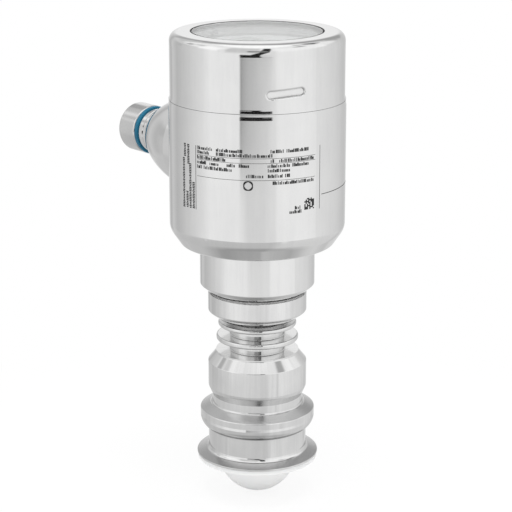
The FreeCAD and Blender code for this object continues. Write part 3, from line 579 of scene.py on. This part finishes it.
def steel(name, tone, rough, marks_pitch, marks_bump, along="z", polished=False, dull_and_shaded_faces=False):
    """Bare steel: cloudy polish, turning marks and a roughness that varies with both."""
    f = Finish(name, Metallic=1.0)
    if along == "z":
        axis, radius = f.z, f.radius(f.x, f.y)
    else:
        axis, radius = f.x, f.radius(f.y, f.math("SUBTRACT", f.z, entry_z))
    clouds = f.noise(f.place, *steel_clouds)
    marks = f.lathe_marks(axis, radius, marks_pitch)
    low = grey(tone * (0.90 if dull_and_shaded_faces else 0.96))
    high = (tone * 1.02, tone * 1.02, tone * 1.015)
    streaks = f.streaks(axis, radius) if polished else clouds
    base = f.varied(f.average(clouds, streaks), low, high)
    roughness = f.varied(f.average(clouds, marks), rough * 0.8, rough * 1.25)
    # Dull faces: more roughness, and painted shade in corners, under the collar's rim and on the low cones
    if dull_and_shaded_faces:
        base = f.corners(base, dull_painted_corner_shade_reach, dull_painted_corner_shade_level)
        # Painted shade under the collar's rim
        root_shade = f.both(f.band(f.z, root_shade_low, root_shade_high, root_shade_soft), f.underside())
        base = f.mix_colour(root_shade, base, grey(tone * root_shade_tone))
        # Low cones: rougher from the lathe, and darker by painted shade
        cones = f.cones()
        base = f.mix_colour(cones, base, grey(tone * cone_shade_tone))
        roughness = f.math("ADD", roughness, f.math("MULTIPLY", cones, cone_roughness))
        roughness = f.math("ADD", roughness, f.math("MULTIPLY", f.flat(), flat_roughness))
    elif polished:
        # Painted shade: the base colour darkens in corners and seams
        base = f.corners(base, painted_corner_shade_reach, painted_corner_shade_level)
    f.set("Base Color", base)
    f.set("Roughness", roughness)
    f.set("Normal", f.bump(marks, marks_bump, marks_depth, f.worn_shape() if polished else None))
    return f


def moulded(name, tone, rough, **constants):
    """Moulded plastic or rubber: eroded grain, slight flow clouds and gloss that varies."""
    f = Finish(name, **constants)
    clouds = f.noise(f.place, *moulded_clouds)
    grains = f.noise(f.place, *moulded_grain)
    low, high = [tuple(channel * share for channel in tone) for share in (0.93, 1.07)]
    f.set("Base Color", f.varied(clouds, low, high))
    f.set("Roughness", f.varied(grains, rough * 0.88, rough * 1.12))
    f.set("Normal", f.bump(grains, grain_strength, grain_depth))
    return f


def brick_pattern(f, scale, mortar, settings, **inputs):
    """Share of mortar in a brick pattern: tracks of a board or gaps of a screen's dots."""
    bricks = f.node("ShaderNodeTexBrick", **settings)
    f.feed(bricks.inputs["Vector"], f.place)
    bricks.inputs["Scale"].default_value = scale
    bricks.inputs["Mortar Size"].default_value = mortar
    for socket, value in inputs.items():
        bricks.inputs[socket.replace("_", " ")].default_value = value
    return bricks.outputs["Fac"]


def circuit_board(name):
    """Solder resist with copper tracks that show through it."""
    f = Finish(name, Specular_IOR_Level=0.5)
    layout = {"offset": 0.37, "squash": 0.6, "squash_frequency": 3}
    tracks = brick_pattern(f, 260.0, 0.09, layout, Mortar_Smooth=0.4)
    clouds = f.noise(f.place, 120.0, 2.0)
    resist = f.varied(clouds, (0.018, 0.17, 0.07), (0.03, 0.23, 0.10))
    f.set("Base Color", f.mix_colour(tracks, resist, (0.05, 0.30, 0.12)))
    f.set("Roughness", f.varied(clouds, 0.28, 0.38))
    f.set("Normal", f.bump(tracks, 0.4, 0.03 * MM))
    return f


def screen(name):
    """Unlit display with its fine grid of dots."""
    f = Finish(name, Coat_Weight=0.6, Coat_Roughness=0.08)
    layout = {"offset": 0.0, "squash": 1.0}
    dots = brick_pattern(f, 1000.0, 0.06, layout, Brick_Width=0.45, Row_Height=0.45)
    clouds = f.noise(f.place, 40.0, 2.0)
    ground = f.varied(clouds, (0.40, 0.43, 0.40), (0.46, 0.49, 0.45))
    f.set("Base Color", f.mix_colour(dots, ground, (0.33, 0.36, 0.34)))
    f.set("Roughness", f.varied(clouds, 0.22, 0.30))
    return f


def fluoropolymer(name):
    """White and waxy, turned from bar."""
    f = Finish(name, Subsurface_Weight=0.25, Subsurface_Scale=0.004)
    f.shader.inputs["Subsurface Radius"].default_value = (1.0, 0.95, 0.9)
    marks = f.lathe_marks(f.z, f.radius(f.x, f.y), 0.6 * MM)
    clouds = f.noise(f.place, 70.0, 3.0)
    f.set("Base Color", f.varied(clouds, (0.865, 0.868, 0.868), (0.90, 0.90, 0.895)))
    f.set("Roughness", f.varied(marks, 0.36, 0.48))
    f.set("Normal", f.bump(marks, 0.2, marks_depth))
    return f


def clear_glass(name, tint, rough):
    f = Finish(name, Transmission_Weight=1.0, IOR=1.5)
    clouds = f.noise(f.place, 45.0, 2.0)
    darker = tuple(channel * 0.985 for channel in tint)
    f.set("Base Color", f.varied(clouds, darker, tint))
    f.set("Roughness", f.varied(clouds, rough, rough + 0.01))
    return f


# Finish of each slot: its maker and what that takes after the name
slot_finishes = {
    "steel_polished": (steel, 0.80, 0.07, 0.9 * MM, 0.02, "z", True),
    "steel_satin": (steel, 0.80, 0.075, 0.5 * MM, 0.04, "z", True, True),
    "steel_turned": (steel, 0.66, 0.26, 0.4 * MM, 0.2),
    "steel_plug": (steel, 0.72, 0.17, 0.4 * MM, 0.1, "x"),
    "spring_steel": (steel, 0.42, 0.34, 0.6 * MM, 0.1),
    "zinc_steel": (steel, 0.70, 0.28, 0.3 * MM, 0.1),
    "tinplate": (steel, 0.72, 0.24, 1.2 * MM, 0.1),
    "brass_nickel": (steel, 0.70, 0.26, 0.3 * MM, 0.1),
    "ptfe_white": (fluoropolymer,),
    "plastic_black": (moulded, (0.045, 0.045, 0.05), 0.5),
    "plastic_white": (moulded, (0.80, 0.80, 0.78), 0.42),
    "terminal_grey": (moulded, (0.34, 0.36, 0.37), 0.45),
    "display_grey": (moulded, (0.58, 0.59, 0.59), 0.5),
    "screen_grey": (screen,),
    "switch_blue": (moulded, (0.04, 0.10, 0.32), 0.3),
    "key_red": (moulded, (0.50, 0.04, 0.03), 0.32),
    "board_green": (circuit_board,),
    "cable_grey": (moulded, (0.28, 0.28, 0.29), 0.5),
    "rubber_black": (moulded, (0.016, 0.016, 0.016), 0.6),
    "seal_blue": (moulded, (0.006, 0.125, 0.215), 0.4),
    "glass_clear": (clear_glass, (0.97, 0.985, 0.98), 0.0),
    "feedthrough_glass": (clear_glass, (0.45, 0.58, 0.5), 0.08),
}
rubber_specular = 0.3


def paint_nodes():
    """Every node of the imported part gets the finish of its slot."""
    finishes = {slot: maker(slot, *values) for slot, (maker, *values) in slot_finishes.items()}
    for slot in ("rubber_black", "seal_blue"):
        finishes[slot].set("Specular IOR Level", rubber_specular)
    slots = {row["node"]: row["material_slot"] for row in frame["record"]["subparts"]}
    for name, node in nodes.items():
        node.data.materials.clear()
        node.data.materials.append(finishes[slots[name]].material)
    # A grey plastic washer, painted paler than it is: painted reflection of the light of the polished steel
    # on both sides of its edge
    washer = moulded("washer_painted_reflection", grey(0.78), 0.3)
    nodes["swivel_washer"].data.materials[0] = washer.material


# Marks on the can: plain rows of strokes where the photograph has its print, and a black strip that is the
# painted shade of a groove. Degrees run to the right of the camera's side, and heights are in millimetres

mark_in = 0.05 * MM
mark_out = 0.02 * MM
camera_polar = camera_azimuth - math.pi / 2
column_deg = 3.0

# Rows as height, then the stretches that hold strokes
mark_rows = [
    (175.5, [(-41, -29), (-26.6, -8.5), (8.2, 16.8), (18.4, 33.6)]),
    (173.4, [(-41, -30.4), (-26.6, 10.1)]),
    (170.8, [(-41, -19.7), (8.3, 10.7), (13.7, 38.3)]),
    (168.3, [(-41, -33.3), (-31.2, -24.3), (-19.4, -13.4), (-11.6, -4.9), (6.4, 21.3), (22.3, 34.8)]),
    (166.0, [(-41, -36.4), (-35.6, -15.9), (6.5, 21.4)]),
    (163.2, [(-7, 4.4), (6.5, 16.9), (17.5, 20.7)]),
    (159.7, [(9.5, 38.4)]),
    (146.5, [(24.1, 29.3)]),
    (144.5, [(20.5, 29.6)]),
]
stroke_pitch_deg = 1.1
stroke_width_deg = 0.80
stroke_height = 1.75
stroke_heights = (0.7, 0.75, 1.0, 1.0)
stroke_widths = (0.7, 1.0, 1.25)

rule_heights = [172.0, 169.6, 161.1]
rule_from_deg = -41.0
rule_to_deg = 39.0
rule_width = 0.2

# Upright lines and columns of lying strokes, as place, upper end and lower end
upright_lines = [(-42.2, 176.3, 143.7), (43.0, 176.4, 144.1)]
upright_line_half_deg = 0.16
upright_columns = [
    (-52.2, 176.0, 169.6), (-48.7, 175.9, 166.1), (-53.5, 168.9, 143.5),
    (-50.0, 152.1, 143.8), (-47.0, 166.4, 143.8), (-44.0, 156.9, 144.0),
]
lying_pitch = 0.85
lying_height = 0.62
lying_left_deg = (0.9, 1.3, 1.3)
lying_right_share = 0.6

ring_deg = -5.7
ring_z = 158.4
ring_r = 2.2
ring_steps = 24
ring_half_deg = 0.3
ring_half_height = 0.25

block_from_deg = 30.9
block_to_deg = 38.4
block_low = 144.8
block_high = 150.6
block_cells = 8
block_fill = 0.62

# A groove on the can, drawn as a black strip: painted shade
groove_shade_z = 151.2
groove_shade_width = 0.35
groove_shade_from_deg = 44.8
groove_shade_to_deg = 186.0


def patch(bm, from_deg, to_deg, low, high):
    """A thin closed piece of the can's skin, between two angles and two heights."""
    columns = max(1, math.ceil((to_deg - from_deg) / column_deg))
    inner, outer = can_r - mark_in, can_r + mark_out
    rims = []
    for i in range(columns + 1):
        angle = math.radians(from_deg + (to_deg - from_deg) * i / columns) + camera_polar
        rims.append([bm.verts.new((reach * math.cos(angle), reach * math.sin(angle), z * MM))
                     for reach, z in ((inner, low), (outer, low), (outer, high), (inner, high))])
    for a, b in zip(rims, rims[1:]):
        for k in range(4):
            bm.faces.new((a[k], b[k], b[(k + 1) % 4], a[(k + 1) % 4]))
    bm.faces.new(rims[0])
    bm.faces.new(reversed(rims[-1]))


def strokes_along(bm, draw, from_deg, to_deg, z):
    place = from_deg
    low = z - stroke_height / 2
    while place + stroke_width_deg <= to_deg:
        height = stroke_height * draw.choice(stroke_heights)
        width = stroke_width_deg * draw.choice(stroke_widths)
        patch(bm, place, place + width, low, low + height)
        place += stroke_pitch_deg


def strokes_up(bm, draw, deg, high, low):
    z = low
    while z < high:
        left = draw.choice(lying_left_deg)
        patch(bm, deg - left, deg + left * lying_right_share, z, z + lying_height)
        z += lying_pitch


def ring(bm):
    """Plain ring, from short overlapping pieces."""
    across = math.degrees(ring_r * MM / can_r)
    for i in range(ring_steps):
        ends = [2 * math.pi * k / ring_steps for k in (i, i + 1)]
        degs = [ring_deg + across * math.cos(end) for end in ends]
        heights = [ring_z + ring_r * math.sin(end) for end in ends]
        patch(bm, min(degs) - ring_half_deg, max(degs) + ring_half_deg,
              min(heights) - ring_half_height, max(heights) + ring_half_height)


def block(bm, draw):
    """Square of loose cells, which hold no code."""
    wide = (block_to_deg - block_from_deg) / block_cells
    tall = (block_high - block_low) / block_cells
    for i in range(block_cells):
        for k in range(block_cells):
            if draw.random() < block_fill:
                left = block_from_deg + i * wide
                low = block_low + k * tall
                patch(bm, left, left + wide, low, low + tall)


def add_marks():
    draw = random.Random(7)
    bm = bmesh.new()
    for z, stretches in mark_rows:
        for from_deg, to_deg in stretches:
            strokes_along(bm, draw, from_deg, to_deg, z)
    for z in rule_heights:
        patch(bm, rule_from_deg, rule_to_deg, z - rule_width / 2, z + rule_width / 2)
    for deg, high, low in upright_lines:
        patch(bm, deg - upright_line_half_deg, deg + upright_line_half_deg, low, high)
    for deg, high, low in upright_columns:
        strokes_up(bm, draw, deg, high, low)
    block(bm, draw)
    ring(bm)
    # Painted shade of the groove, as a black strip
    patch(bm, groove_shade_from_deg, groove_shade_to_deg, groove_shade_z - groove_shade_width / 2, groove_shade_z + groove_shade_width / 2)
    bmesh.ops.recalc_face_normals(bm, faces=bm.faces)
    mesh = bpy.data.meshes.new("housing_marks")
    bm.to_mesh(mesh)
    bm.free()
    marks = bpy.data.objects.new("housing_marks", mesh)
    bpy.context.scene.collection.objects.link(marks)
    # Black of the print, also used for the groove's painted shade
    f = Finish("laser_print_and_groove_shade", Metallic=0.0)
    speckle = f.noise(f.place, 3000.0, 2.0)
    f.set("Base Color", f.varied(speckle, (0.010, 0.010, 0.011), (0.022, 0.022, 0.023)))
    f.set("Roughness", f.varied(speckle, 0.5, 0.65))
    mesh.materials.append(f.material)
    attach(marks, "housing")


add_camera()
add_world()
add_lamp()
add_floor()
paint_nodes()
add_marks()

view = bpy.context.scene.view_settings
view.view_transform = "Standard"
